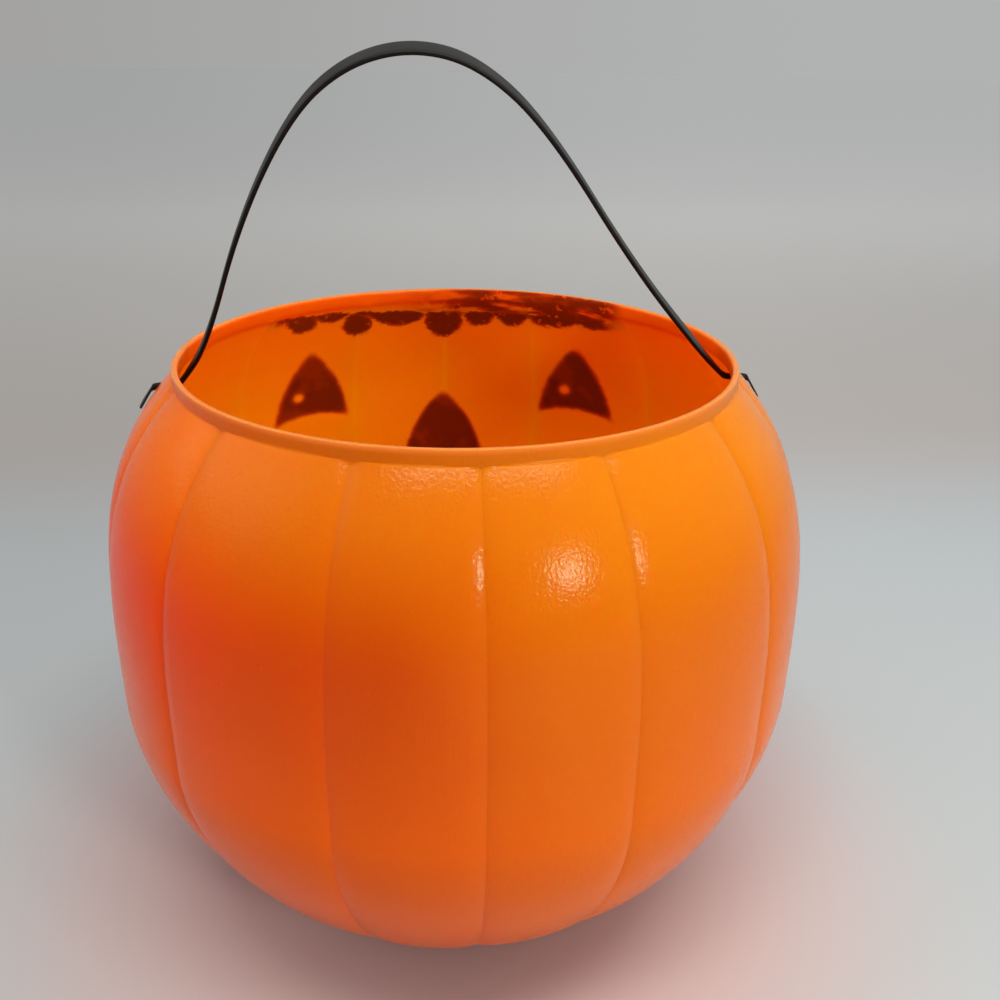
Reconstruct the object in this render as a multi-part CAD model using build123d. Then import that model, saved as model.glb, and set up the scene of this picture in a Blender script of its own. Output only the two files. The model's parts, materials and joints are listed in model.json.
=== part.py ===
from build123d import *
import math
import os

# A pumpkin-shaped candy pail: a thin moulded shell, a strap handle that swings in two holes, and painted features.
# The origin is at the middle of the foot, on the surface that it stands on. +Z is up and the face looks along -Y.

# Shell
body_diameter = 216.0
body_height = 181.0
widest_height = 85.0
foot_diameter = 88.0
rim_diameter = 165.4
collar_height = 4.2
collar_step = 0.8
wall = 1.8
groove_depth = 1.5
push_up_diameter = 66.0
push_up_height = 6.0

# Handle
hinge_drop = 10.0
handle_rise = 96.6
handle_lean = 16.7
strap_width = 8.0
strap_thickness = 1.4
neck_diameter = 2.0
neck_overlap = 2.5
strap_taper_length = 14.0
tab_drop = 7.5
tab_width = 5.0
tab_thickness = 0.6

# Painted features, seen from the front. Each drop is measured down from the rim.
paint_thickness = 0.3
eye_width = 27.0
eye_height = 30.0
eye_spacing = 106.0
eye_base_drop = 54.0
pupil_diameter = 4.4
nose_width = 33.0
nose_height = 31.0
nose_base_drop = 78.0
mouth_width = 112.0
mouth_corner_drop = 91.0
mouth_depth = 40.0
mouth_opening = 24.0
tooth_width = 13.0
tooth_height = 10.0
fringe_width = 128.0
fringe_depth = 16.5
corner_radius = 2.0
apex_radius = 3.0

# Clearances, and the overrun of every cut
hinge_clearance = 0.25
wall_clearance = 1.9
tab_clearance = 0.3
paint_clearance = 0.15
overrun = 5.0

# The curve of the side wall: how full it is below and above the widest line
lower_power = 1.77
lower_root = 1.476
upper_power = 3.8
groove_fade_power = 6.0
lower_turn_angles = (12.0, 24.0, 36.0, 48.0, 61.0, 76.0)
upper_height_shares = (0.0, 0.3, 0.55, 0.75, 0.89, 1.0)

# Grooves of one quarter, as angles from the middle of the back. The other quarters mirror it.
groove_angles = (0.0, 20.8, 48.9, 74.5)

# Corners of the strap's middle line from the -X end to the +X end, as shares of its half span and its rise.
# Each corner is rounded by an arc that takes nearly half of the shorter run beside it.
strap_corner_shares = (
    (-1.0, 0.0),
    (-0.605, 0.394),
    (-0.262, 0.81),
    (-0.044, 0.969),
    (0.157, 1.009),
    (0.357, 0.962),
    (0.527, 0.831),
    (0.718, 0.537),
    (0.883, 0.153),
    (1.0, 0.0),
)
arc_run_share = 0.48

# Shape of the features, as shares of their own width, height or depth
side_bulge_share = 0.08
base_arch_share = 0.09
apex_shift_share = 0.09
pupil_side_share = 0.16
pupil_rise_share = 0.35
upper_teeth_shares = (-0.17, 0.17)
lower_teeth_shares = (0.0,)
drip_place_shares = (-0.88, -0.63, -0.405, -0.21, 0.0, 0.3, 0.51, 0.66, 0.82, 0.95)
drip_drop_shares = (0.44, 0.54, 0.6, 0.63, 0.95, 0.58, 0.78, 0.32, 0.48, 0.17)
valley_place_shares = (-1.0, -0.76, -0.5, -0.31, -0.11, 0.11, 0.44, 0.58, 0.74, 0.9, 1.0)
valley_drop_shares = (0.28, 0.38, 0.36, 0.36, 0.38, 0.36, 0.3, 0.22, 0.14, 0.1, 0.09)

body_radius = body_diameter / 2
foot_radius = foot_diameter / 2
rim_radius = rim_diameter / 2
mouth_radius = rim_radius - wall
shoulder_height = body_height - collar_height
shoulder_radius = rim_radius + collar_step
hinge_height = body_height - hinge_drop


def quarter_turns():
    # Every groove round the body, in degrees from +X, counted anticlockwise
    turns = set()
    for angle in groove_angles:
        for turn in (90 + angle, 90 - angle, 270 + angle, 270 - angle):
            turns.add(round(turn % 360, 6))
    return sorted(turns)


def lower_station(angle):
    # Radius, height and outward normal of the side wall below its widest line
    turn = math.radians(angle)
    drop_power = 2 / lower_power
    round_power = 2 / lower_root
    height = widest_height * (1 - math.cos(turn) ** drop_power)
    radius = foot_radius + (body_radius - foot_radius) * math.sin(turn) ** round_power
    rise = widest_height * drop_power * math.cos(turn) ** (drop_power - 1) * math.sin(turn)
    spread = (body_radius - foot_radius) * round_power
    spread *= math.sin(turn) ** (round_power - 1) * math.cos(turn)
    return radius, height, Vector(rise, -spread).normalized()


def upper_station(share):
    # The same, above the widest line
    reach = shoulder_height - widest_height
    draw_in = body_radius - shoulder_radius
    height = widest_height + reach * share
    radius = body_radius - draw_in * share**upper_power
    lean_in = draw_in * upper_power * share ** (upper_power - 1)
    return radius, height, Vector(reach, lean_in).normalized()


def wall_stations():
    stations = [(foot_radius, 0.0, Vector(0, -1))]
    stations += [lower_station(angle) for angle in lower_turn_angles]
    stations += [upper_station(share) for share in upper_height_shares]
    return stations


def groove_depth_at(height):
    # The grooves run out towards the foot
    below = max(0.0, (widest_height - height) / widest_height)
    return groove_depth * (1 - below**groove_fade_power)


def polar_point(radius, turn, height):
    angle = math.radians(turn)
    return Vector(radius * math.cos(angle), radius * math.sin(angle), height)


def lobed_ring(radius, height, depth):
    # One level round the body: an arc for each lobe, meeting in the grooves
    turns = quarter_turns()
    arcs = []
    for start, end in zip(turns, turns[1:] + [turns[0] + 360]):
        first = polar_point(radius - depth, start, height)
        crest = polar_point(radius, (start + end) / 2, height)
        last = polar_point(radius - depth, end, height)
        arcs.append(ThreePointArc(first, crest, last))
    return Wire(arcs)


def lobed_body(offset):
    # The solid inside the side wall, moved out or in along its normal
    rings = []
    for radius, height, normal in wall_stations():
        moved_radius = radius + offset * normal.X
        moved_height = height + offset * normal.Y
        rings.append(lobed_ring(moved_radius, moved_height, groove_depth_at(height)))
    return Solid.make_loft(rings)


def shoulder_at(height):
    # Outside radius of the shoulder on a lobe, and its outward normal
    share = (height - widest_height) / (shoulder_height - widest_height)
    radius, _, normal = upper_station(share)
    return radius, normal


def outside_reach(height, gap):
    # How far from the middle a point lies that is off the outside of the shoulder by a gap
    radius, normal = shoulder_at(height)
    return radius + gap / normal.X


def dome(radius, rise):
    # A shallow round cap standing on the XY plane
    sphere_radius = (radius**2 + rise**2) / (2 * rise)
    with BuildPart() as cap:
        with BuildSketch(Plane.XZ):
            with BuildLine():
                side = RadiusArc((radius, 0), (0, rise), -sphere_radius)
                Polyline(side @ 1, (0, 0), side @ 0)
            make_face()
        revolve(axis=Axis.Z)
    return cap.part


def upright_cylinder(radius, low, high):
    return Pos(0, 0, low) * Cylinder(radius, high - low, align=(Align.CENTER, Align.CENTER, Align.MIN))


def hinge_rod(radius, near, far):
    # A round bar along the hinge axis, from one X to another
    return Pos(near, 0, hinge_height) * Rot(0, 90, 0) * Cylinder(
        radius, far - near, align=(Align.CENTER, Align.CENTER, Align.MIN)
    )


def pumpkin_shell():
    outside = lobed_body(0.0)
    collar = upright_cylinder(rim_radius, shoulder_height - wall, body_height)
    mouth = upright_cylinder(mouth_radius, shoulder_height - overrun, body_height + overrun)
    raised_floor = Pos(0, 0, wall) * dome(push_up_diameter / 2 + wall, push_up_height)
    hollow = lobed_body(-wall) - raised_floor
    hole_radius = neck_diameter / 2 + hinge_clearance
    holes = hinge_rod(hole_radius, -body_radius, body_radius)
    recess = dome(push_up_diameter / 2, push_up_height)
    return outside + collar - hollow - mouth - recess - holes


def strap_half_span():
    # The strap ends inside the wall, clear of it as the handle swings
    inside = -wall - wall_clearance - strap_thickness / 2
    return outside_reach(hinge_height + neck_diameter / 2, inside)


def tab_start():
    # The tab begins on the hinge axis, where its corners clear the shoulder as the handle swings
    return outside_reach(hinge_height - neck_diameter / 2, tab_clearance + tab_thickness / 2)


def tab_end():
    lowest = hinge_height - math.hypot(tab_drop, tab_width / 2)
    return outside_reach(lowest, tab_clearance + tab_thickness / 2)


def strap_plane():
    # The strap stands in a plane through the hinge axis that leans towards the back
    return Plane(origin=(0, 0, hinge_height), x_dir=(1, 0, 0), z_dir=(0, -1, 0)).rotated((-handle_lean, 0, 0))


def bend_radii(points):
    # The radius of the arc at each corner between the two ends
    radii = []
    for before, corner, after in zip(points, points[1:], points[2:]):
        run = arc_run_share * min((corner - before).length, (after - corner).length)
        turn = math.radians((corner - before).get_angle(after - corner))
        radii.append(run / math.tan(turn / 2))
    return radii


def strap_band(plane):
    span = strap_half_span()
    points = [Vector(x_share * span, y_share * handle_rise) for x_share, y_share in strap_corner_shares]
    line = FilletPolyline(*points, radius=bend_radii(points))
    edge = Wire(line.edges()).offset_2d(strap_thickness / 2)
    return extrude(plane * Face(edge), amount=strap_width / 2, both=True)


def handle_planform(plane):
    # Seen along the strap's rise: full width over the middle, narrow at the necks, wider again at the tabs
    tip = strap_half_span() + strap_thickness
    widths = [
        (tab_end() + tab_thickness, tab_width),
        (tab_start(), neck_diameter),
        (tip, neck_diameter),
        (tip - strap_taper_length, strap_width),
    ]
    side = [(x, width / 2) for x, width in widths]
    side += [(-x, half) for x, half in reversed(side)]
    side += [(x, -half) for x, half in reversed(side)]
    seen = Plane(origin=plane.origin, x_dir=plane.x_dir, z_dir=plane.y_dir)
    outline = make_face(Polyline(*side, close=True))
    return extrude(seen * outline, amount=handle_rise + overrun, both=True)


def handle_tab(plane, side):
    # A flat tongue outside the wall, lying along the shoulder below the hole
    line = Line((side * tab_start(), 0), (side * tab_end(), -tab_drop))
    edge = Wire(line).offset_2d(tab_thickness / 2)
    return extrude(plane * Face(edge), amount=strap_width / 2, both=True)


def handle_strap():
    plane = strap_plane()
    planform = handle_planform(plane)
    handle = strap_band(plane) & planform
    near = strap_half_span() - neck_overlap
    far = tab_start()
    for side in (-1, 1):
        handle += handle_tab(plane, side) & planform
        handle += hinge_rod(neck_diameter / 2, *sorted((side * near, side * far)))
    return handle


def bulged_triangle(width, height, apex_shift):
    # An upright triangle with round sides, an arched base and soft corners. Its base is on y = 0.
    half = width / 2
    bulge = side_bulge_share * width
    apex = Vector(apex_shift, height)
    left = Vector(-half, 0)
    right = Vector(half, 0)
    left_side = (left + apex) / 2 + Vector(-bulge, bulge / 2)
    right_side = (right + apex) / 2 + Vector(bulge, bulge / 2)
    edges = [
        ThreePointArc(left, left_side, apex),
        ThreePointArc(apex, right_side, right),
        ThreePointArc(right, Vector(0, base_arch_share * height), left),
    ]
    outline = make_face(edges)
    outline = fillet(outline.vertices().sort_by(Axis.Y)[:-1], corner_radius)
    return fillet(outline.vertices().sort_by(Axis.Y)[-1], apex_radius)


def eye_outline(side):
    # Both pupils look the same way
    pupil = Pos(pupil_side_share * eye_width, pupil_rise_share * eye_height) * Circle(pupil_diameter / 2)
    eye = bulged_triangle(eye_width, eye_height, -side * apex_shift_share * eye_width)
    return Pos(side * eye_spacing / 2, body_height - eye_base_drop) * (eye - pupil)


def nose_outline():
    return Pos(0, body_height - nose_base_drop) * bulged_triangle(nose_width, nose_height, 0)


def mouth_outline():
    # A wide grin with square teeth
    half = mouth_width / 2
    corner_height = body_height - mouth_corner_drop
    left = (-half, corner_height)
    right = (half, corner_height)
    low = corner_height - mouth_depth
    high = low + mouth_opening
    grin = make_face([ThreePointArc(left, (0, low), right), ThreePointArc(right, (0, high), left)])
    tooth = Rectangle(tooth_width, 2 * tooth_height)
    upper_drop = (high - corner_height) / half**2
    for share in upper_teeth_shares:
        x = share * mouth_width
        edge = high - upper_drop * x**2
        grin -= Pos(x, edge) * tooth
    for share in lower_teeth_shares:
        grin -= Pos(share * mouth_width, low) * tooth
    return grin


def fringe_outline():
    # A band under the collar whose lower edge hangs in drips
    half = fringe_width / 2
    top = shoulder_height - wall
    valleys = [(p * half, top - d * fringe_depth) for p, d in zip(valley_place_shares, valley_drop_shares)]
    tips = [(p * half, top - d * fringe_depth) for p, d in zip(drip_place_shares, drip_drop_shares)]
    edges = [ThreePointArc(a, tip, b) for a, tip, b in zip(valleys, tips, valleys[1:])]
    edges.append(Polyline(valleys[-1], (half, top), (-half, top), valleys[0]))
    return make_face(edges)


def paint_film(outline, underside, topside):
    # A thin coat on the front of the shell, inside an outline drawn on the front view
    reach = extrude(Plane.XZ * outline, amount=body_radius + overrun)
    return (reach & topside) - underside


underside = lobed_body(paint_clearance)
topside = lobed_body(paint_clearance + paint_thickness)
outlines = {
    "left_eye_paint": eye_outline(1),
    "right_eye_paint": eye_outline(-1),
    "nose_paint": nose_outline(),
    "mouth_paint": mouth_outline(),
    "fringe_paint": fringe_outline(),
}
nodes = {"pumpkin_shell": pumpkin_shell(), "handle_strap": handle_strap()}
for name, outline in outlines.items():
    nodes[name] = paint_film(outline, underside, topside)

os.makedirs("parts", exist_ok=True)
for name, piece in nodes.items():
    export_step(piece, f"parts/{name}.step")
    print(name, len(piece.solids()), round(piece.volume, 1))
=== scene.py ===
import bmesh
import bpy
import json
import math
import numpy as np
from functools import partial
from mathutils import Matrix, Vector
from mathutils.geometry import delaunay_2d_cdt


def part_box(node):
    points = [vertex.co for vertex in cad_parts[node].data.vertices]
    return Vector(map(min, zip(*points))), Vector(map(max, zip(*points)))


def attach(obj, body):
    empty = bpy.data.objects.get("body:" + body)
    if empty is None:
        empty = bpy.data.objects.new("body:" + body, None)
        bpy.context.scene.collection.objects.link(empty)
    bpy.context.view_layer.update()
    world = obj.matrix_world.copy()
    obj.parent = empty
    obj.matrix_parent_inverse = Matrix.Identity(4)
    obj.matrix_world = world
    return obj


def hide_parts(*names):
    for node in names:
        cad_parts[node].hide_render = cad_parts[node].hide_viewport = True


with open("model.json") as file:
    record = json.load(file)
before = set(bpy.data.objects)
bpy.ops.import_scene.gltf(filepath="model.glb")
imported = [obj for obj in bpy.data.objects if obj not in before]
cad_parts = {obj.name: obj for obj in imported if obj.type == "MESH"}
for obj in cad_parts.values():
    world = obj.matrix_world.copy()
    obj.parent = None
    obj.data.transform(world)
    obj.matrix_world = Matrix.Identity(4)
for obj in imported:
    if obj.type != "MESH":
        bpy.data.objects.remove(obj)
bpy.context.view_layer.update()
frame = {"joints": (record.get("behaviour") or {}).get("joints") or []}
mm = 0.001
scene = bpy.context.scene
scene.view_settings.view_transform = "Standard"
hingeHeight = frame["joints"][0]["pos_m"][2] / mm
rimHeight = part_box("pumpkin_shell")[1].z / mm
print("frame loaded: rim at %.1f mm, hinge at %.1f mm" % (rimHeight, hingeHeight))


# small helpers for node trees
grid = dict(columns=12, wide=200, high=300)


def feed(socket, value):
    # an output is linked, and a plain value is set on the socket itself
    if hasattr(value, "is_output"):
        socket.id_data.links.new(value, socket)
    else:
        socket.default_value = value


def addNode(tree, kind, values=None, **settings):
    # nodes stand in rows, in the order in which they are made
    row, column = divmod(len(tree.nodes), grid["columns"])
    made = tree.nodes.new(kind)
    made.location = (grid["wide"] * column, -grid["high"] * row)
    for key, value in settings.items():
        setattr(made, key, value)
    for label, value in (values or {}).items():
        feed(made.inputs[label], value)
    return made


def mathNode(operation, tree, *values, clamp=False):
    values = dict(enumerate(values))
    return addNode(tree, "ShaderNodeMath", values, operation=operation, use_clamp=clamp).outputs[0]


plus, minus, times = (partial(mathNode, name) for name in ("ADD", "SUBTRACT", "MULTIPLY"))
timesPlus, divided, unsigned = (partial(mathNode, name) for name in ("MULTIPLY_ADD", "DIVIDE", "ABSOLUTE"))
least, most = (partial(mathNode, name) for name in ("MINIMUM", "MAXIMUM"))


def vectorNode(tree, operation, first, second=None):
    made = addNode(tree, "ShaderNodeVectorMath", operation=operation)
    feed(made.inputs[0], first)
    if second is not None:
        feed(made.inputs["Scale"] if operation == "SCALE" else made.inputs[1], second)
    return made.outputs["Value" if operation in ("LENGTH", "DISTANCE", "DOT_PRODUCT") else "Vector"]


def rampNode(tree, value, low, high, first=0.0, last=1.0, shape="SMOOTHSTEP"):
    # runs from first to last while the value goes from low to high
    values = dict(enumerate((value, low, high, first, last)))
    return addNode(tree, "ShaderNodeMapRange", values, interpolation_type=shape, clamp=True).outputs[0]


def noiseNode(tree, place, size, detail=2.0, roughness=0.5):
    # soft noise whose lumps are about so many millimetres apart
    values = {"Vector": place, "Scale": 1 / (size * mm), "Detail": detail, "Roughness": roughness}
    return addNode(tree, "ShaderNodeTexNoise", values).outputs["Fac"]


def splitNode(tree, vector):
    return addNode(tree, "ShaderNodeSeparateXYZ", {0: vector}).outputs


def joinNode(tree, *parts):
    return addNode(tree, "ShaderNodeCombineXYZ", dict(enumerate(parts))).outputs[0]


def mixColours(tree, share, first, second):
    return addNode(tree, "ShaderNodeMix", {0: share, 6: first, 7: second}, data_type="RGBA").outputs[2]


def attributeNode(tree, name):
    return addNode(tree, "ShaderNodeAttribute", attribute_name=name).outputs["Fac"]


def seenColour(red, green, blue):
    # a colour as it shows on screen, turned into the share of light that it sends back
    parts = [value / 255 for value in (red, green, blue)]
    return tuple(p / 12.92 if p < 0.0405 else ((p + 0.055) / 1.055) ** 2.4 for p in parts) + (1.0,)


def newTree(name, kind, inputs, outputs):
    tree = bpy.data.node_groups.new(name, kind)
    for side, sockets in (("INPUT", inputs), ("OUTPUT", outputs)):
        for label, socketKind in sockets:
            tree.interface.new_socket(name=label, in_out=side, socket_type="NodeSocket" + socketKind)
    return tree, addNode(tree, "NodeGroupInput"), addNode(tree, "NodeGroupOutput")


def placeGroup(tree, group, values):
    # puts a shared finish into a material with the material's own values
    return addNode(tree, "ShaderNodeGroup", values, node_tree=group).outputs


def floats(*labels):
    return [(label, "Float") for label in labels]


# small helpers for meshes
def makeObject(name, data):
    made = bpy.data.objects.new(name, data)
    scene.collection.objects.link(made)
    return made


def plainMesh(piece):
    # the evaluated piece as a mesh of its own
    depsgraph = bpy.context.evaluated_depsgraph_get()
    shown = piece.evaluated_get(depsgraph)
    mesh = bpy.data.meshes.new_from_object(shown, preserve_all_data_layers=True, depsgraph=depsgraph)
    mesh.name = piece.name
    return mesh


def runNodes(piece, tree, values):
    modifier = piece.modifiers.new(tree.name, "NODES")
    modifier.node_group = tree
    for item in tree.interface.items_tree:
        if item.in_out == "INPUT" and item.name in values:
            modifier[item.identifier] = values[item.name]
    return plainMesh(piece)


def setFloats(mesh, name, values):
    layer = mesh.attributes.new(name, "FLOAT", "POINT")
    layer.data.foreach_set("value", np.asarray(values, np.float32))


def tidyNormals(mesh):
    work = bmesh.new()
    work.from_mesh(mesh)
    bmesh.ops.remove_doubles(work, verts=work.verts, dist=1e-7)
    bmesh.ops.recalc_face_normals(work, faces=work.faces)
    work.to_mesh(mesh)
    work.free()


def smoothFaces(mesh, sharpAngle):
    mesh.shade_smooth()
    mesh.set_sharp_from_angle(angle=math.radians(sharpAngle))


def finishPiece(piece, body, slot, *nodes):
    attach(piece, body)
    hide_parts(*nodes)
    print(piece.name, "made with", len(piece.data.polygons), "faces")


# the moulded shell, in millimetres, with turns in degrees from the middle of the back
pail = dict(
    bodyRadius=108.0, widestHeight=85.0, footRadius=44.0, rimRadius=82.7, collarHeight=4.2, collarStep=0.8,
    wall=1.8, pushUpRadius=33.0, pushUpHeight=6.0, pushUpStart=0.12, footRound=1.0, holeRadius=1.25,
    lipRound=0.3, lipThin=0.6, hollowRows=((0.45, 0.12), (0.18, 0.36), (0.04, 0.7)), collarRises=(1.1, 2.6),
    mouthDrops=(0.9, 1.8, 2.9), mouthFlare=((0.1, 3.9, 0.1), (0.42, 4.7, 0.3)),
    lowerPower=1.77, lowerRoot=1.476, upperPower=3.8, grooveFadePower=6.0,
    grooveTurns=(0.0, 20.8, 48.9, 74.5), creaseTurn=1.4, creaseDepth=0.95, lobeTurn=13.0, lobeDepth=0.55,
    innerGrooveShare=0.35, firstTurn=5, lowerRows=44, upperRows=46, rowCrowd=1.6, domeRows=9,
    lobeColumns=12, columnCrowd=1.9, holeSides=40, sharpAngle=40,
)
shoulderHeight = rimHeight - pail["collarHeight"]
shoulderRadius = pail["rimRadius"] + pail["collarStep"]


def wallByTurn(angle):
    # the side wall below its widest line: radius, height and outward normal
    dropPower, roundPower = 2 / pail["lowerPower"], 2 / pail["lowerRoot"]
    spread = pail["bodyRadius"] - pail["footRadius"]
    c, s = np.cos(angle), np.sin(angle)
    z = pail["widestHeight"] * (1 - c**dropPower)
    r = pail["footRadius"] + spread * s**roundPower
    rise = pail["widestHeight"] * dropPower * c ** (dropPower - 1) * s
    run = spread * roundPower * s ** (roundPower - 1) * c
    return r, z, rise / np.hypot(rise, run), -run / np.hypot(rise, run)


def wallByShare(share):
    # the same from the widest line up to the shoulder
    reach = shoulderHeight - pail["widestHeight"]
    drawIn = pail["bodyRadius"] - shoulderRadius
    lean = drawIn * pail["upperPower"] * share ** (pail["upperPower"] - 1)
    r = pail["bodyRadius"] - drawIn * share ** pail["upperPower"]
    z = pail["widestHeight"] + reach * share
    return r, z, reach / np.hypot(reach, lean), lean / np.hypot(reach, lean)


def wallByHeight(z):
    z = np.asarray(z, float)
    share = np.clip((z - pail["widestHeight"]) / (shoulderHeight - pail["widestHeight"]), 0, 1)
    cosine = np.clip(1 - z / pail["widestHeight"], 1e-6, 1 - 1e-9) ** (pail["lowerPower"] / 2)
    pairs = zip(wallByTurn(np.arccos(cosine)), wallByShare(share))
    return [np.where(z < pail["widestHeight"], low, high) for low, high in pairs]


def grooveFade(z):
    below = np.clip((pail["widestHeight"] - np.asarray(z, float)) / pail["widestHeight"], 0, 1)
    return 1 - below ** pail["grooveFadePower"]


def grooveInset(turn):
    # the groove rule in numbers, for what lies on the shell
    folded = np.minimum(np.abs(turn), 180 - np.abs(turn))
    away = np.min([np.abs(folded - groove) for groove in pail["grooveTurns"]], axis=0)
    lobe = np.clip(1 - away / pail["lobeTurn"], 0, 1) ** 2
    return pail["creaseDepth"] * np.exp(-away / pail["creaseTurn"]) + pail["lobeDepth"] * lobe


def domeRows(radius, base, rise, side):
    # a shallow cap from its edge to its middle
    sphere = (radius**2 + rise**2) / (2 * rise)
    spots = np.linspace(1, 0, pail["domeRows"] + 1)[1:] * radius
    return [(r, base + rise - sphere + math.sqrt(sphere**2 - r**2), 0.0, side) for r in spots]


def collarRows():
    # the collar stands up out of the shoulder in a tight hollow, and its lip is cut flat and thinned inside
    out, top, lip, thin = pail["rimRadius"], rimHeight, pail["lipRound"], pail["lipThin"]
    mouth, step, base = out - pail["wall"], pail["collarStep"], shoulderHeight
    outside = [(share * step, base + rise, 1.0) for share, rise in pail["hollowRows"]]
    outside += [(0.0, base + rise, 0.0) for rise in pail["collarRises"]]
    outside += [(0.0, top - lip, 0.0), (-lip / 4, top - lip / 4, 0.0), (-lip, top, 0.0)]
    inside = [(thin, 0.0, 0.0), (thin / 3, lip, 0.0)]
    inside += [(0.0, drop, 0.0) for drop in pail["mouthDrops"]] + list(pail["mouthFlare"])
    rows = [(out + extra, z, fade, 0) for extra, z, fade in outside]
    return rows + [(mouth + extra, top - drop, fade, int(drop >= lip)) for extra, drop, fade in inside]


def sectionRows():
    # the closed section from under the floor over the rim to the floor inside:
    # radius, height, share of the grooves, and 1 on the inner side
    wall, foot, push, bend = (pail[key] for key in ("wall", "footRadius", "pushUpRadius", "footRound"))
    share, start = pail["innerGrooveShare"], pail["pushUpStart"]
    under = domeRows(push, 0.0, pail["pushUpHeight"], 0)[::-1]
    ring = [(push, start), (push + bend, 0.0), (foot - bend, 0.0), (foot, 0.0)]
    ring = [(r, z, 0.0, 0) for r, z in ring]
    turns = np.radians(np.linspace(pail["firstTurn"], 90, pail["lowerRows"]))
    rises = 1 - np.linspace(1, 0, pail["upperRows"])[1:] ** pail["rowCrowd"]
    stations = [wallByTurn(turn) for turn in turns] + [wallByShare(rise) for rise in rises]
    outer = [(r, z, grooveFade(z), 0) for r, z, _, _ in stations]
    inner = [(r - wall * nr, z - wall * nz, grooveFade(z) * share, 1) for r, z, nr, nz in stations]
    floor = [(foot, wall), (push + wall + bend, wall), (push + wall, wall + start)]
    floor = [(r, z, 0.0, 1) for r, z in floor] + domeRows(push + wall, wall, pail["pushUpHeight"], 1)
    return under + ring + outer + collarRows() + inner[::-1] + floor


def columnTurns():
    # columns crowd towards the grooves
    grooves = {g for turn in pail["grooveTurns"] for g in (turn, -turn, 180 - turn, turn - 180)} - {-180.0}
    grooves = sorted(grooves)
    turns = []
    for start, end in zip(grooves, grooves[1:] + [grooves[0] + 360]):
        steps = np.linspace(0, 1, pail["lobeColumns"] + 1) ** pail["columnCrowd"] * (end - start) / 2
        turns += [start + step for step in steps] + [end - step for step in steps[-2:0:-1]]
    return (np.array(turns) + 180) % 360 - 180


def turnedShell():
    # a plain turned shell: a ring of points for each row of the section, and a middle point at both ends
    rows, turns = sectionRows(), columnTurns()
    count, last = len(turns), len(rows) - 3
    sines, cosines = np.sin(np.radians(turns)), np.cos(np.radians(turns))
    points = [np.stack([r * sines, r * cosines, np.full(count, z)], 1) for r, z, _, _ in rows[1:-1]]
    points = np.concatenate(points + [[(0.0, 0.0, rows[0][1])], [(0.0, 0.0, rows[-1][1])]])
    faces = []
    for i in range(count):
        j = (i + 1) % count
        faces += [(k + i, k + count + i, k + count + j, k + j) for k in range(0, last * count, count)]
        faces += [(len(points) - 2, i, j), (len(points) - 1, last * count + j, last * count + i)]
    mesh = bpy.data.meshes.new("pumpkinShell")
    mesh.from_pydata([tuple(p) for p in points * mm], [], faces)
    setFloats(mesh, "turn", np.append(np.tile(turns, last + 1), (0.0, 0.0)))
    radii, heights, fades, sides = zip(*rows[1:-1])
    # a groove goes no deeper than the collar's face
    room = [max(r - pail["rimRadius"], 0) if z > pail["widestHeight"] and not side else r
            for r, z, side in zip(radii, heights, sides)]
    lip = [float(z > rimHeight - pail["lipThin"]) for z in heights]
    for name, values in (("fade", fades), ("inner", sides), ("room", room), ("lip", lip)):
        setFloats(mesh, name, np.append(np.repeat(values, count), (0.0, float(name == "inner"))))
    return mesh


def storeFloat(tree, geometry, name, value):
    values = {"Geometry": geometry, "Name": name, "Value": value}
    kind = "GeometryNodeStoreNamedAttribute"
    return addNode(tree, kind, values, data_type="FLOAT", domain="POINT").outputs[0]


def namedFloat(tree, name):
    return addNode(tree, "GeometryNodeInputNamedAttribute", {"Name": name}, data_type="FLOAT").outputs[0]


def dressAndLeave(tree, geometry, material, leave):
    realized = addNode(tree, "GeometryNodeRealizeInstances", {0: geometry}).outputs[0]
    dress = addNode(tree, "GeometryNodeSetMaterial", {"Geometry": realized, "Material": material})
    feed(leave.inputs[0], dress.outputs[0])


def pressGrooves():
    # the groove rule as a tree: the nearest groove, a sharp crease there and a broad fall towards it
    grooves = ["Groove %d" % (i + 1) for i in range(len(pail["grooveTurns"]))]
    sizes = grooves + ["Crease Turn", "Crease Depth", "Lobe Turn", "Lobe Depth"]
    inputs = [("Geometry", "Geometry")] + floats(*sizes) + [("Material", "Material")]
    tree, entry, leave = newTree("pressGrooves", "GeometryNodeTree", inputs, [("Geometry", "Geometry")])
    size = entry.outputs
    plain = unsigned(tree, namedFloat(tree, "turn"))
    folded = least(tree, plain, minus(tree, 180.0, plain))
    away = 180.0
    for label in grooves:
        gap = unsigned(tree, minus(tree, folded, size[label]))
        away = least(tree, gap, away)
    share = divided(tree, away, size["Crease Turn"])
    crease = mathNode("EXPONENT", tree, times(tree, share, -1.0))
    lobe = divided(tree, away, size["Lobe Turn"])
    lobe = minus(tree, 1.0, lobe, clamp=True)
    lobe = times(tree, lobe, lobe)
    deep = times(tree, crease, size["Crease Depth"])
    deep = timesPlus(tree, lobe, size["Lobe Depth"], deep)
    deep = times(tree, deep, namedFloat(tree, "fade"))
    deep = least(tree, deep, namedFloat(tree, "room"))
    place = addNode(tree, "GeometryNodeInputPosition")
    level = vectorNode(tree, "MULTIPLY", place.outputs[0], (1.0, 1.0, 0.0))
    inward = vectorNode(tree, "SCALE", vectorNode(tree, "NORMALIZE", level), -mm)
    moves = {"Geometry": size["Geometry"], "Offset": vectorNode(tree, "SCALE", inward, deep)}
    press = addNode(tree, "GeometryNodeSetPosition", moves)
    dressAndLeave(tree, press.outputs[0], size["Material"], leave)
    return tree


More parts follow.
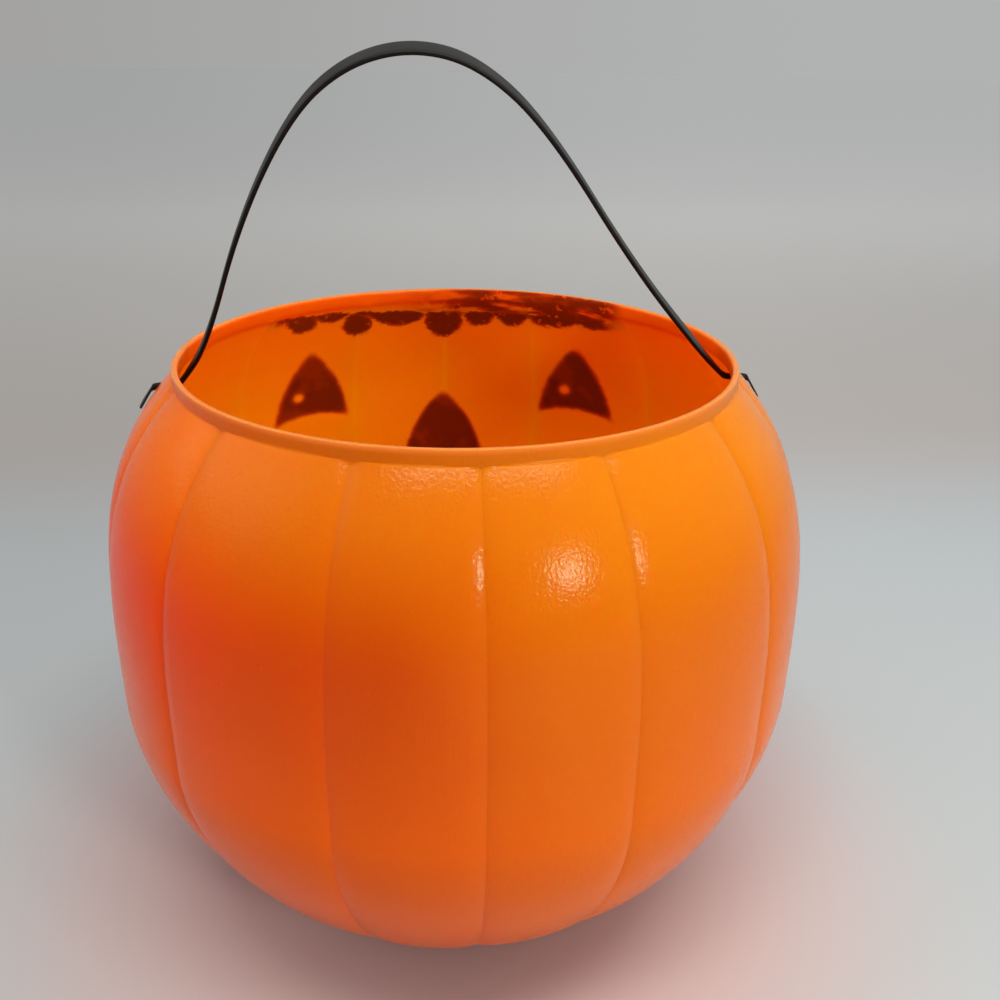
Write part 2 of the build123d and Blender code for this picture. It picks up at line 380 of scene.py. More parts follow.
def hingeCutter(material):
    # two round bars along the hinge line, one for each hole
    work = bmesh.new()
    radius = pail["holeRadius"] * mm
    for side in (-1, 1):
        bar = bmesh.ops.create_cone(
            work, cap_ends=True, segments=pail["holeSides"], radius1=radius, radius2=radius,
            depth=pail["rimRadius"] / 2 * mm)
        for vert in bar["verts"]:
            x, y, z = vert.co
            vert.co = (z + side * shoulderRadius * mm, y, hingeHeight * mm + x)
    bmesh.ops.recalc_face_normals(work, faces=work.faces)
    mesh = bpy.data.meshes.new("hingeCutter")
    work.to_mesh(mesh)
    work.free()
    mesh.materials.append(material)
    return makeObject("hingeCutter", mesh)


def makeShell(material):
    shell = makeObject("pumpkinShell", turnedShell())
    values = {"Groove %d" % (i + 1): turn for i, turn in enumerate(pail["grooveTurns"])}
    values.update({"Crease Turn": pail["creaseTurn"], "Crease Depth": pail["creaseDepth"]})
    values.update({"Lobe Turn": pail["lobeTurn"], "Lobe Depth": pail["lobeDepth"], "Material": material})
    pressed = runNodes(shell, pressGrooves(), values)
    shell.modifiers.clear()
    shell.data = pressed
    cutter = hingeCutter(material)
    holes = shell.modifiers.new("hingeHoles", "BOOLEAN")
    holes.operation, holes.solver, holes.object = "DIFFERENCE", "EXACT", cutter
    punched = plainMesh(shell)
    shell.modifiers.clear()
    shell.data = punched
    bpy.data.objects.remove(cutter)
    for spare in ("turn", "fade", "room"):
        punched.attributes.remove(punched.attributes[spare])
    smoothFaces(punched, pail["sharpAngle"])
    finishPiece(shell, "pail", "orange_shell", "pumpkin_shell")


# the painted features as they are drawn on the front, in millimetres
face = dict(
    eyeWidth=27.0, eyeHeight=30.0, eyeSpacing=106.0, eyeDrop=54.0, pupilDiameter=4.4,
    noseWidth=33.0, noseHeight=31.0, noseDrop=78.0,
    mouthWidth=112.0, mouthDrop=91.0, mouthDepth=40.0, mouthOpening=24.0, toothWidth=13.0, toothHeight=10.0,
    fringeWidth=128.0, fringeDepth=16.5, cornerCut=2.6, apexCut=3.6,
    sideBulgeShare=0.08, baseArchShare=0.09, apexShiftShare=0.09, pupilSideShare=0.16, pupilRiseShare=0.35,
    upperTeethShares=(-0.17, 0.17), lowerTeethShares=(0.0,),
    dripPlaceShares=(-0.88, -0.63, -0.405, -0.21, 0.0, 0.3, 0.51, 0.66, 0.82, 0.95),
    dripDropShares=(0.44, 0.54, 0.6, 0.63, 0.95, 0.58, 0.78, 0.32, 0.48, 0.17),
    valleyPlaceShares=(-1.0, -0.76, -0.5, -0.31, -0.11, 0.11, 0.44, 0.58, 0.74, 0.9, 1.0),
    valleyDropShares=(0.28, 0.38, 0.36, 0.36, 0.38, 0.36, 0.3, 0.22, 0.14, 0.1, 0.09),
    coatThickness=0.3, coatSink=0.12, coatGrid=2.2, edgeStep=0.8, edgeRamp=0.35, edgeInset=0.45,
    edgeSink=0.02, pupilSides=24, fitRounds=6, sharpAngle=40,
)
eyeBase = rimHeight - face["eyeDrop"]
noseBase = rimHeight - face["noseDrop"]
mouthCorner = rimHeight - face["mouthDrop"]
mouthLow = mouthCorner - face["mouthDepth"]
mouthHigh = mouthLow + face["mouthOpening"]
fringeTop = shoulderHeight - pail["wall"]


def circleThrough(first, middle, last):
    # centre and radius of the circle through three points
    a, b, c = (complex(*p) for p in (first, middle, last))
    w = (c - a) / (b - a)
    centre = (b - a) * (w - abs(w) ** 2) / (2j * w.imag) + a
    return (centre.real, centre.imag), abs(a - centre)


def arcPoints(first, middle, last):
    # evenly spaced points of that circle, without the last one, which starts the next run
    centre, radius = circleThrough(first, middle, last)
    start, mid, end = (math.atan2(p[1] - centre[1], p[0] - centre[0]) for p in (first, middle, last))
    sweep = (end - start) % math.tau
    if (mid - start) % math.tau > sweep:
        sweep -= math.tau
    count = max(2, round(abs(sweep) * radius / face["edgeStep"]))
    turns = start + sweep * np.arange(count) / count
    return np.stack([centre[0] + radius * np.cos(turns), centre[1] + radius * np.sin(turns)], 1)


def linePoints(first, last):
    first, last = np.array(first, float), np.array(last, float)
    count = max(1, round(float(np.linalg.norm(last - first)) / face["edgeStep"]))
    return first + (last - first) * (np.arange(count) / count)[:, None]


def roundCorners(sides):
    # draws a triangle of arcs, each corner cut off by a short curve, the apex furthest
    runs = [arcPoints(*arc) for arc in sides]
    cuts = [face["cornerCut"], face["apexCut"], face["cornerCut"]]
    corners = [run[0] for run in runs]
    loop = []
    for i, run in enumerate(runs):
        before, ahead = runs[i - 1], (i + 1) % len(runs)
        arrive = before[np.linalg.norm(before - corners[i], axis=1) > cuts[i]][-1]
        clear = np.linalg.norm(run - corners[i], axis=1) > cuts[i]
        clear &= np.linalg.norm(run - corners[ahead], axis=1) > cuts[ahead]
        leave = run[clear][0]
        for t in (0.2, 0.4, 0.6, 0.8):
            loop.append((1 - t) ** 2 * arrive + 2 * t * (1 - t) * corners[i] + t * t * leave)
        loop += list(run[clear])
    return np.array(loop)


def triangleSides(width, height, shift):
    # an upright triangle with round sides and an arched base: three arcs, each as three points
    half, bulge = width / 2, face["sideBulgeShare"] * width
    left, right, apex = (-half, 0.0), (half, 0.0), (shift, height)
    leftSide = ((left[0] + shift) / 2 - bulge, (height + bulge) / 2)
    rightSide = ((right[0] + shift) / 2 + bulge, (height + bulge) / 2)
    base = (0.0, face["baseArchShare"] * height)
    return [(left, leftSide, apex), (apex, rightSide, right), (right, base, left)]


def eyeSides(side):
    shift = -side * face["apexShiftShare"] * face["eyeWidth"]
    return triangleSides(face["eyeWidth"], face["eyeHeight"], shift)


def noseSides():
    return triangleSides(face["noseWidth"], face["noseHeight"], 0.0)


def eyePlace(side):
    return np.array([side * face["eyeSpacing"] / 2, eyeBase])


def pupilPlace(side):
    aside = face["pupilSideShare"] * face["eyeWidth"]
    return eyePlace(side) + np.array([aside, face["pupilRiseShare"] * face["eyeHeight"]])


def eyeLoops(side):
    turns = np.linspace(0, math.tau, face["pupilSides"] + 1)[:-1]
    pupil = pupilPlace(side) + face["pupilDiameter"] / 2 * np.stack([np.cos(turns), np.sin(turns)], 1)
    return [roundCorners(eyeSides(side)) + eyePlace(side), pupil]


def noseLoops():
    return [roundCorners(noseSides()) + np.array([0.0, noseBase])]


def mouthArcs():
    half = face["mouthWidth"] / 2
    left, right = (-half, mouthCorner), (half, mouthCorner)
    return (left, (0.0, mouthLow), right), (right, (0.0, mouthHigh), left)


def toothPlaces():
    # the middle of each square tooth, on the edge that it is let into, lower teeth first
    drop = (mouthHigh - mouthCorner) / (face["mouthWidth"] / 2) ** 2
    upper = [share * face["mouthWidth"] for share in face["upperTeethShares"]]
    lower = [(share * face["mouthWidth"], mouthLow) for share in face["lowerTeethShares"]]
    return lower, [(x, mouthHigh - drop * x * x) for x in upper]


def mouthLoops():
    edges = []
    for arc, teeth, rise in zip(mouthArcs(), toothPlaces(), (1, -1)):
        points = arcPoints(*arc)
        for x, edge in teeth:
            inTooth = np.where(np.abs(points[:, 0] - x) < face["toothWidth"] / 2)[0]
            first, last = points[inTooth[0] - 1], points[inTooth[-1] + 1]
            level = edge + rise * face["toothHeight"]
            corners = [first, (first[0], level), (last[0], level), last]
            tooth = [linePoints(a, b) for a, b in zip(corners, corners[1:])]
            points = np.concatenate([points[: inTooth[0] - 1], *tooth, points[inTooth[-1] + 1 :]])
        edges.append(points)
    return [np.concatenate(edges)]


def dripArcs():
    half, depth = face["fringeWidth"] / 2, face["fringeDepth"]
    ends = []
    for kind in ("valley", "drip"):
        shares = zip(face[kind + "PlaceShares"], face[kind + "DropShares"])
        ends.append([(place * half, fringeTop - drop * depth) for place, drop in shares])
    valleys, tips = ends
    return list(zip(valleys, tips, valleys[1:]))


def fringeLoops():
    arcs, half = dripArcs(), face["fringeWidth"] / 2
    runs = [arcPoints(*arc) for arc in arcs]
    corners = [arcs[-1][2], (half, fringeTop), (-half, fringeTop), arcs[0][0]]
    return [np.concatenate(runs + [linePoints(a, b) for a, b in zip(corners, corners[1:])])]


def edgeDistance(points, loops):
    # distance to the nearest edge of the loops, negative inside them
    best = np.full(len(points), 1e9)
    inside = np.zeros(len(points), bool)
    for loop in loops:
        for a, b in zip(loop, np.roll(loop, -1, axis=0)):
            along = b - a
            t = np.clip(((points - a) @ along) / max(along @ along, 1e-12), 0, 1)
            best = np.minimum(best, np.linalg.norm(points - a - t[:, None] * along, axis=1))
            crosses = (a[1] > points[:, 1]) != (b[1] > points[:, 1])
            meets = a[0] + (points[:, 1] - a[1]) / (along[1] or 1e-12) * along[0]
            inside ^= crosses & (points[:, 0] < meets)
    return np.where(inside, -best, best)


def onFront(points, lift):
    # puts points of the front view on the outside of the shell, lifted off it
    x, z = points[:, 0], points[:, 1]
    r, _, outward, upward = wallByHeight(z)
    y = -np.sqrt(r**2 - x**2)
    for _ in range(face["fitRounds"]):
        inset = grooveFade(z) * grooveInset(np.degrees(np.arctan2(x, y)))
        y = -np.sqrt((r - inset) ** 2 - x**2)
    flat = np.hypot(x, y)
    normal = np.stack([x / flat * outward, y / flat * outward, upward], 1)
    return np.stack([x, y, z], 1) + normal * lift[:, None]


def fillOutline(loops):
    # points and triangles of a fine flat sheet inside an outline
    low, high = loops[0].min(0), loops[0].max(0)
    steps = [np.arange(a, b, face["coatGrid"]) for a, b in zip(low, high)]
    spots = np.stack(np.meshgrid(*steps), -1).reshape(-1, 2)
    spots = spots[edgeDistance(spots, loops) < -2 * face["edgeInset"]]
    edge = np.concatenate(loops)
    ways = np.concatenate([np.roll(loop, -1, 0) - np.roll(loop, 1, 0) for loop in loops])
    ways = np.stack([-ways[:, 1], ways[:, 0]], 1) / (np.linalg.norm(ways, axis=1)[:, None] + 1e-9)
    beside = np.concatenate([edge + side * face["edgeInset"] * ways for side in (-1, 1)])
    beside = beside[edgeDistance(beside, loops) < -0.9 * face["edgeInset"]]
    links, start = [], 0
    for loop in loops:
        links += [(start + i, start + (i + 1) % len(loop)) for i in range(len(loop))]
        start += len(loop)
    points = [Vector(p) for p in np.concatenate([edge, beside, spots])]
    flat, _, tris, _, _, _ = delaunay_2d_cdt(points, links, [], 0, 1e-5)
    flat = np.array([tuple(p) for p in flat])
    middles = np.array([flat[list(tri)].mean(0) for tri in tris])
    return flat, [tuple(tri) for tri, away in zip(tris, edgeDistance(middles, loops)) if away < 0]


def coatMesh(name, loops):
    # a coat of paint: thin at its edge, and closed underneath by a sheet sunk in the wall
    flat, tris = fillOutline(loops)
    depth = np.maximum(-edgeDistance(flat, loops), 0)
    lift = face["coatThickness"] * (1 - np.exp(-depth / face["edgeRamp"])) - face["edgeSink"]
    top, under = onFront(flat, lift), onFront(flat, np.full(len(flat), -face["coatSink"]))
    count, border = len(flat), {}
    for tri in tris:
        for pair in zip(tri, tri[1:] + tri[:1]):
            border.setdefault(frozenset(pair), []).append(pair)
    faces = tris + [tuple(count + i for i in reversed(tri)) for tri in tris]
    faces += [(b, a, a + count, b + count) for (a, b), *others in border.values() if not others]
    mesh = bpy.data.meshes.new(name)
    mesh.from_pydata([tuple(p) for p in np.concatenate([top, under]) * mm], [], faces)
    setFloats(mesh, "edgeDepth", np.concatenate([depth, depth]))
    return mesh


def makeCoats(material):
    coats = {
        "leftEyeCoat": (eyeLoops(1), "left_eye_paint"), "rightEyeCoat": (eyeLoops(-1), "right_eye_paint"),
        "noseCoat": (noseLoops(), "nose_paint"), "mouthCoat": (mouthLoops(), "mouth_paint"),
        "fringeCoat": (fringeLoops(), "fringe_paint"),
    }
    for name, (loops, node) in coats.items():
        coat = makeObject(name, coatMesh(name, loops))
        coat.data.materials.append(material)
        tidyNormals(coat.data)
        smoothFaces(coat.data, face["sharpAngle"])
        finishPiece(coat, "pail", "black_paint", node)


# the handle, in millimetres, its plane leaning back about the hinge line
strap = dict(
    width=8.0, thickness=1.4, neck=2.0, taper=14.0, tabDrop=7.5, tabWidth=5.0, tabThickness=0.6,
    rise=96.6, lean=16.7, wallGap=1.9, tabGap=0.3, foot=0.9, squareShare=0.42, tipRound=1.8, tipLeast=0.3,
    lineSteps=24, steps=460, sides=28, sharpAngle=50,
    cornerShares=(
        (-0.9, 0.1), (-0.605, 0.394), (-0.262, 0.81), (-0.044, 0.969), (0.157, 1.009), (0.357, 0.962),
        (0.527, 0.831), (0.718, 0.537), (0.883, 0.153),
    ),
)


def reachAt(z, gap):
    # how far out a point lies that is off the outside of the shoulder by a gap
    r, _, outward, _ = wallByHeight(z)
    return float(r + gap / outward)


strapInset = pail["wall"] + strap["wallGap"] + strap["thickness"] / 2
strapSpan = reachAt(hingeHeight + strap["neck"] / 2, -strapInset)
tabOff = strap["tabGap"] + strap["tabThickness"] / 2
tabStart = reachAt(hingeHeight - strap["neck"] / 2, tabOff)
tabEnd = reachAt(hingeHeight - math.hypot(strap["tabDrop"], strap["tabWidth"] / 2), tabOff)


def strapLine():
    # the strap's middle line from tab to tab: up the tongue, in through the hole, and over the top
    foot, drop = strap["foot"], strap["tabDrop"]
    end = [(tabEnd, -drop), ((tabStart + tabEnd) / 2, -drop / 2), (tabStart + foot / 3, -foot / 2)]
    end += [(tabStart - 2 * foot, 0.0), ((strapSpan + tabStart) / 2, 0.0), (strapSpan + 2 * foot, 0.0)]
    end.append((strapSpan, foot))
    bow = [(x * strapSpan, y * strap["rise"]) for x, y in strap["cornerShares"]]
    points = [(-x, y) for x, y in end] + bow + end[::-1]
    lean = math.radians(strap["lean"])
    curve = bpy.data.curves.new("strapLine", "CURVE")
    curve.dimensions = "3D"
    line = curve.splines.new("NURBS")
    line.points.add(len(points) - 1)
    for spot, (x, y) in zip(line.points, points):
        spot.co = (x * mm, y * math.sin(lean) * mm, (hingeHeight + y * math.cos(lean)) * mm, 1.0)
    line.order_u = 3
    line.use_endpoint_u = True
    line.resolution_u = strap["lineSteps"]
    return curve


def keepFields(tree, geometry, fields):
    # holds values of a curve's points so that the swept mesh can use them
    made = addNode(tree, "GeometryNodeCaptureAttribute", {"Geometry": geometry}, domain="POINT")
    for label, kind, value in fields:
        made.capture_items.new(kind, label)
        feed(made.inputs[label], value)
    return made.outputs


def sweepStrap():
    # one closed bar along a line, whose width, thickness and roundness follow how far out it is
    sizes = ["Strap Width", "Strap Thickness", "Neck Diameter", "Tab Width", "Tab Thickness"]
    places = ["Taper Start", "Neck Start", "Tab Start", "Tab End", "Square Share", "Tip Round"]
    inputs = [("Geometry", "Geometry"), ("Steps", "Int"), ("Sides", "Int"), ("Across", "Vector")]
    inputs += floats(*sizes, *places) + [("Material", "Material")]
    tree, entry, leave = newTree("sweepStrap", "GeometryNodeTree", inputs, [("Geometry", "Geometry")])
    size = entry.outputs
    values = {"Curve": size["Geometry"], "Count": size["Steps"]}
    evenly = addNode(tree, "GeometryNodeResampleCurve", values, mode="COUNT")
    place = addNode(tree, "GeometryNodeInputPosition").outputs[0]
    tangent = addNode(tree, "GeometryNodeInputTangent").outputs[0]
    run = addNode(tree, "GeometryNodeSplineParameter").outputs["Length"]
    whole = addNode(tree, "GeometryNodeSplineLength").outputs["Length"]
    left = minus(tree, whole, run)
    fields = [("Place", "VECTOR", place), ("Along", "VECTOR", tangent)]
    fields += [("Run", "FLOAT", run), ("Left", "FLOAT", left)]
    path = keepFields(tree, evenly.outputs[0], fields)
    values = {"Resolution": size["Sides"], "Radius": 1.0}
    circle = addNode(tree, "GeometryNodeCurvePrimitiveCircle", values, mode="RADIUS")
    ring = keepFields(tree, circle.outputs["Curve"], [("Round", "VECTOR", place)])
    values = {"Curve": path["Geometry"], "Profile Curve": ring["Geometry"], "Fill Caps": True}
    sweep = addNode(tree, "GeometryNodeCurveToMesh", values)

    # sizes of the section, from how far out the line is
    out = unsigned(tree, splitNode(tree, path["Place"])[0])
    half = {label: times(tree, size[label], 0.5) for label in sizes}
    neck, neckStart, tab = half["Neck Diameter"], size["Neck Start"], size["Tab Start"]
    nearNeck = minus(tree, neckStart, size["Neck Diameter"])
    nearTab = minus(tree, tab, half["Tab Thickness"])
    onTab = plus(tree, tab, size["Tab Thickness"])
    spread = minus(tree, half["Tab Width"], neck)
    thin = minus(tree, half["Tab Thickness"], neck)
    square = minus(tree, size["Square Share"], 1.0)
    wide = rampNode(tree, out, size["Taper Start"], neckStart, half["Strap Width"], neck)
    wide = plus(tree, wide, rampNode(tree, out, tab, size["Tab End"], 0.0, spread, "LINEAR"))
    thick = rampNode(tree, out, nearNeck, neckStart, half["Strap Thickness"], neck)
    thick = plus(tree, thick, rampNode(tree, out, nearTab, onTab, 0.0, thin))
    power = rampNode(tree, out, nearNeck, neckStart, size["Square Share"], 1.0)
    power = plus(tree, power, rampNode(tree, out, nearTab, onTab, 0.0, square))

    # round tips, then the section itself
    tip = least(tree, path["Run"], path["Left"])
    tip = divided(tree, tip, size["Tip Round"], clamp=True)
    tip = minus(tree, 1.0, tip)
    tip = minus(tree, 1.0, times(tree, tip, tip))
    tip = most(tree, mathNode("SQRT", tree, tip), strap["tipLeast"])
    spans = times(tree, wide, tip), thick
    sides = []
    for spot, span in zip(splitNode(tree, ring["Round"]), spans):
        swell = mathNode("POWER", tree, unsigned(tree, spot), power)
        swell = times(tree, swell, mathNode("SIGN", tree, spot))
        sides.append(times(tree, swell, span))
    upward = vectorNode(tree, "CROSS_PRODUCT", path["Along"], size["Across"])
    offset = vectorNode(tree, "SCALE", size["Across"], sides[0])
    offset = vectorNode(tree, "ADD", offset, vectorNode(tree, "SCALE", upward, sides[1]))
    moves = {"Geometry": sweep.outputs[0], "Position": vectorNode(tree, "ADD", path["Place"], offset)}
    flow = addNode(tree, "GeometryNodeSetPosition", moves).outputs[0]
    for name, value in (("strapRun", path["Run"]), ("strapSide", sides[0]), ("strapFace", sides[1])):
        flow = storeFloat(tree, flow, name, value)
    dressAndLeave(tree, flow, size["Material"], leave)
    return tree


def makeHandle(material):
    lean = math.radians(strap["lean"])
    path = makeObject("strapLine", strapLine())
    neckStart = strapSpan + strap["thickness"]
    lengths = {
        "Strap Width": strap["width"], "Strap Thickness": strap["thickness"],
        "Tab Width": strap["tabWidth"], "Tab Thickness": strap["tabThickness"],
        "Neck Diameter": strap["neck"], "Tab Start": tabStart,
        "Tab End": tabEnd + strap["tabThickness"], "Taper Start": neckStart - strap["taper"],
        "Neck Start": neckStart, "Tip Round": strap["tipRound"],
    }
    values = {label: length * mm for label, length in lengths.items()}
    values.update({"Steps": strap["steps"], "Sides": strap["sides"], "Square Share": strap["squareShare"]})
    values.update({"Across": (0.0, math.cos(lean), -math.sin(lean)), "Material": material})
    handle = makeObject("handleStrap", runNodes(path, sweepStrap(), values))
    bpy.data.objects.remove(path)
    tidyNormals(handle.data)
    smoothFaces(handle.data, strap["sharpAngle"])
    finishPiece(handle, "handle", "black_strap", "handle_strap")


# finishes shared by several pieces: gaps in millimetres between the lumps of a noise, and the levels of
# the noise between which a mask rises
finish = dict(
    peelGap=0.8, streakGap=0.8, streakStretch=(1.0, 1.0, 0.06), waveGap=16.0, dotSpread=0.03,
    dotLeast=0.012, scuffTurn=(0.5, 0.3, 0.2), scuffStretch=(1.0, 1.0, 0.09), scuffGap=0.7,
    scuffAt=(0.7, 0.78), patchGap=22.0, patchAt=(0.52, 0.7), bloomGap=38.0, bloomAt=(0.3, 0.7),
)


def objectPlace(tree):
    return addNode(tree, "ShaderNodeTexCoord").outputs["Object"]


def mouldRipple():
    # the skin of a blown moulding: fine peel, upright streaks and a slow wave, as a height in millimetres
    inputs = floats("Peel Height", "Streak Height", "Wave Height")
    tree, entry, leave = newTree("mouldRipple", "ShaderNodeTree", inputs, floats("Height"))
    place = objectPlace(tree)
    upright = vectorNode(tree, "MULTIPLY", place, finish["streakStretch"])
    peel = noiseNode(tree, place, finish["peelGap"], 1.0)
    streak = noiseNode(tree, upright, finish["streakGap"], 0.0)
    wave = noiseNode(tree, place, finish["waveGap"], 0.0)
    height = times(tree, peel, entry.outputs["Peel Height"])
    height = timesPlus(tree, streak, entry.outputs["Streak Height"], height)
    height = timesPlus(tree, wave, entry.outputs["Wave Height"], height)
    feed(leave.inputs[0], height)
    return tree


def handledMarks():
    # what use leaves behind: scattered specks, short scuffs and a blotchy bloom, each as a mask
    inputs, outputs = floats("Speck Gap", "Speck Share"), floats("Specks", "Scuffs", "Bloom")
    tree, entry, leave = newTree("handledMarks", "ShaderNodeTree", inputs, outputs)
    place = objectPlace(tree)
    values = {"Vector": place, "Scale": divided(tree, 1 / mm, entry.outputs["Speck Gap"])}
    cells = addNode(tree, "ShaderNodeTexVoronoi", values, feature="F1")
    pick = addNode(tree, "ShaderNodeSeparateColor", {0: cells.outputs["Color"]}).outputs
    chosen = mathNode("LESS_THAN", tree, pick[0], entry.outputs["Speck Share"])
    reach = timesPlus(tree, pick[1], finish["dotSpread"], finish["dotLeast"])
    dots = mathNode("LESS_THAN", tree, cells.outputs["Distance"], reach)
    feed(leave.inputs["Specks"], times(tree, dots, chosen))
    values = {"Vector": place, "Rotation": finish["scuffTurn"], "Scale": finish["scuffStretch"]}
    slanted = addNode(tree, "ShaderNodeMapping", values).outputs[0]
    lines = rampNode(tree, noiseNode(tree, slanted, finish["scuffGap"], 2.0, 0.6), *finish["scuffAt"])
    patch = rampNode(tree, noiseNode(tree, place, finish["patchGap"], 1.0), *finish["patchAt"])
    feed(leave.inputs["Scuffs"], times(tree, lines, patch))
    feed(leave.inputs["Bloom"], noiseNode(tree, place, finish["bloomGap"], 3.0, 0.6))
    return tree


# how the paint shows through the wall, in millimetres and levels of a noise: the drips hang dark from a
# line that climbs towards +X, and above it the paint is a thin wash that grows towards -X
# the dark shapes are the paint seen through the wall, made darker with painted shade where the paint keeps
# light out
showThrough = dict(
    edgeSoft=4.2, edgeWobble=1.2, cornerSoft=4.0, apexSoft=6.0, dripSoft=3.6, dripThin=0.4, dripWobble=4.2,
    lineAt=(6.0, 58.0), lineDrops=(0.37, 0.1), hemRise=1.3, hemSoft=1.8, endFade=9.0,
    washAt=(22.0, -18.0), washShares=(0.05, 0.85), wobbleGap=5.0, smearStretch=(0.4, 0.4, 1.3),
    smearGap=6.0, smearAt=(0.28, 0.56), denseGap=11.0, denseAt=(0.32, 0.6), denseShares=(0.72, 1.0),
)


def circleAway(tree, point, centre, radius, side=1.0):
    # distance from a circle, negative inside it, or turned round
    gap = vectorNode(tree, "DISTANCE", point, (centre[0], centre[1], 0.0))
    return times(tree, minus(tree, gap, radius), side)


def triangleAway(tree, point, sides, place):
    # distance from a triangle of arcs, as the greatest of its distances from their circles
    gaps = []
    for arc, side in zip(sides, (1.0, 1.0, -1.0)):
        (x, z), radius = circleThrough(*arc)
        gaps.append(circleAway(tree, point, (x + place[0], z + place[1]), radius, side))
    away = mathNode("SMOOTH_MAX", tree, gaps[0], gaps[1], showThrough["apexSoft"])
    return mathNode("SMOOTH_MAX", tree, away, gaps[2], showThrough["cornerSoft"])


def eyeAway(tree, point, side):
    eye = triangleAway(tree, point, eyeSides(side), eyePlace(side))
    pupil = circleAway(tree, point, pupilPlace(side), face["pupilDiameter"] / 2, -1.0)
    return most(tree, eye, pupil)


def mouthAway(tree, point):
    lowerArc, upperArc = mouthArcs()
    low = circleAway(tree, point, *circleThrough(*lowerArc))
    high = circleAway(tree, point, *circleThrough(*upperArc), -1.0)
    away = most(tree, low, high)
    lower, upper = toothPlaces()
    halves = (face["toothWidth"] / 2, face["toothHeight"], 0.0)
    for x, z in lower + upper:
        beside = vectorNode(tree, "ABSOLUTE", vectorNode(tree, "SUBTRACT", point, (x, z, 0.0)))
        beside = splitNode(tree, vectorNode(tree, "SUBTRACT", beside, halves))
        tooth = most(tree, beside[0], beside[1])
        away = most(tree, away, times(tree, tooth, -1.0))
    return away


def fringeAway(tree, point):
    # distance from the fringe, negative inside it, and the height above the line that it hangs from
    spot = splitNode(tree, point)
    levels = [fringeTop - share * face["fringeDepth"] for share in showThrough["lineDrops"]]
    line = rampNode(tree, spot[0], *showThrough["lineAt"], *levels, "LINEAR")
    rise = minus(tree, spot[1], line)
    away = times(tree, rise, -1.0)
    for arc in dripArcs():
        away = least(tree, away, circleAway(tree, point, *circleThrough(*arc)))
    aside = minus(tree, unsigned(tree, spot[0]), face["fringeWidth"] / 2)
    return most(tree, away, aside), rise


def paintShadow():
    # where the paint outside shows through and darkens the wall inside, from 0 to 1; the darkness is partly
    # painted shade where the paint keeps light out
    inputs, outputs = floats("Wobble"), floats("Features", "Fringe")
    tree, entry, leave = newTree("paintShadow", "ShaderNodeTree", inputs, outputs)
    place = objectPlace(tree)
    spot = splitNode(tree, vectorNode(tree, "SCALE", place, 1 / mm))
    point = joinNode(tree, spot[0], spot[2])
    wobble = minus(tree, noiseNode(tree, place, showThrough["wobbleGap"], 3.0, 0.6), 0.5)
    wobble = times(tree, wobble, entry.outputs["Wobble"])
    away = triangleAway(tree, point, noseSides(), (0.0, noseBase))
    for side in (1, -1):
        away = least(tree, away, eyeAway(tree, point, side))
    away = least(tree, away, mouthAway(tree, point))
    away = plus(tree, away, wobble)
    front = mathNode("LESS_THAN", tree, spot[1], 0.0)
    soft = showThrough["edgeSoft"] / 2
    features = rampNode(tree, away, soft, -soft)
    dense = noiseNode(tree, place, showThrough["denseGap"])
    features = times(tree, features, rampNode(tree, dense, *showThrough["denseAt"], *showThrough["denseShares"]))
    feed(leave.inputs["Features"], times(tree, features, front))
    drips, rise = fringeAway(tree, point)
    drips = timesPlus(tree, wobble, showThrough["dripWobble"], drips)
    soft = showThrough["dripSoft"] / 2
    inside = rampNode(tree, drips, soft - showThrough["dripThin"], -soft - showThrough["dripThin"])
    half, aside = face["fringeWidth"] / 2, unsigned(tree, spot[0])
    ends = rampNode(tree, aside, half, half - showThrough["endFade"])
    rise = timesPlus(tree, wobble, showThrough["dripWobble"], rise)
    hem = rampNode(tree, rise, showThrough["hemRise"] + showThrough["hemSoft"], showThrough["hemRise"])
    smear = vectorNode(tree, "MULTIPLY", place, showThrough["smearStretch"])
    patchy = rampNode(tree, noiseNode(tree, smear, showThrough["smearGap"]), *showThrough["smearAt"])
    wash = rampNode(tree, spot[0], *showThrough["washAt"], *showThrough["washShares"])
    wash = times(tree, wash, patchy)
    drips = times(tree, most(tree, hem, wash), inside)
    drips = times(tree, drips, ends)
    feed(leave.inputs["Fringe"], times(tree, drips, front))
    return tree


def newMaterial(name, settings):
    material = bpy.data.materials.new(name)
    material.use_nodes = True
    shader = material.node_tree.nodes["Principled BSDF"]
    for label, value in settings.items():
        shader.inputs[label].default_value = value
    return material, material.node_tree, shader


def bumpFrom(tree, shader, height):
    # a height in millimetres
    bump = addNode(tree, "ShaderNodeBump", {"Distance": mm, "Strength": 1.0, "Height": height})
    feed(shader.inputs["Normal"], bump.outputs[0])


def skinHeight(tree, ripple, piece):
    # the shared ripple at a piece's own heights
    heights = {kind.title() + " Height": piece[kind] for kind in ("peel", "streak", "wave")}
    return placeGroup(tree, ripple, heights)["Height"]


def roughFrom(tree, shader, bloom, piece):
    feed(shader.inputs["Roughness"], rampNode(tree, bloom, *finish["bloomAt"], *piece["rough"]))


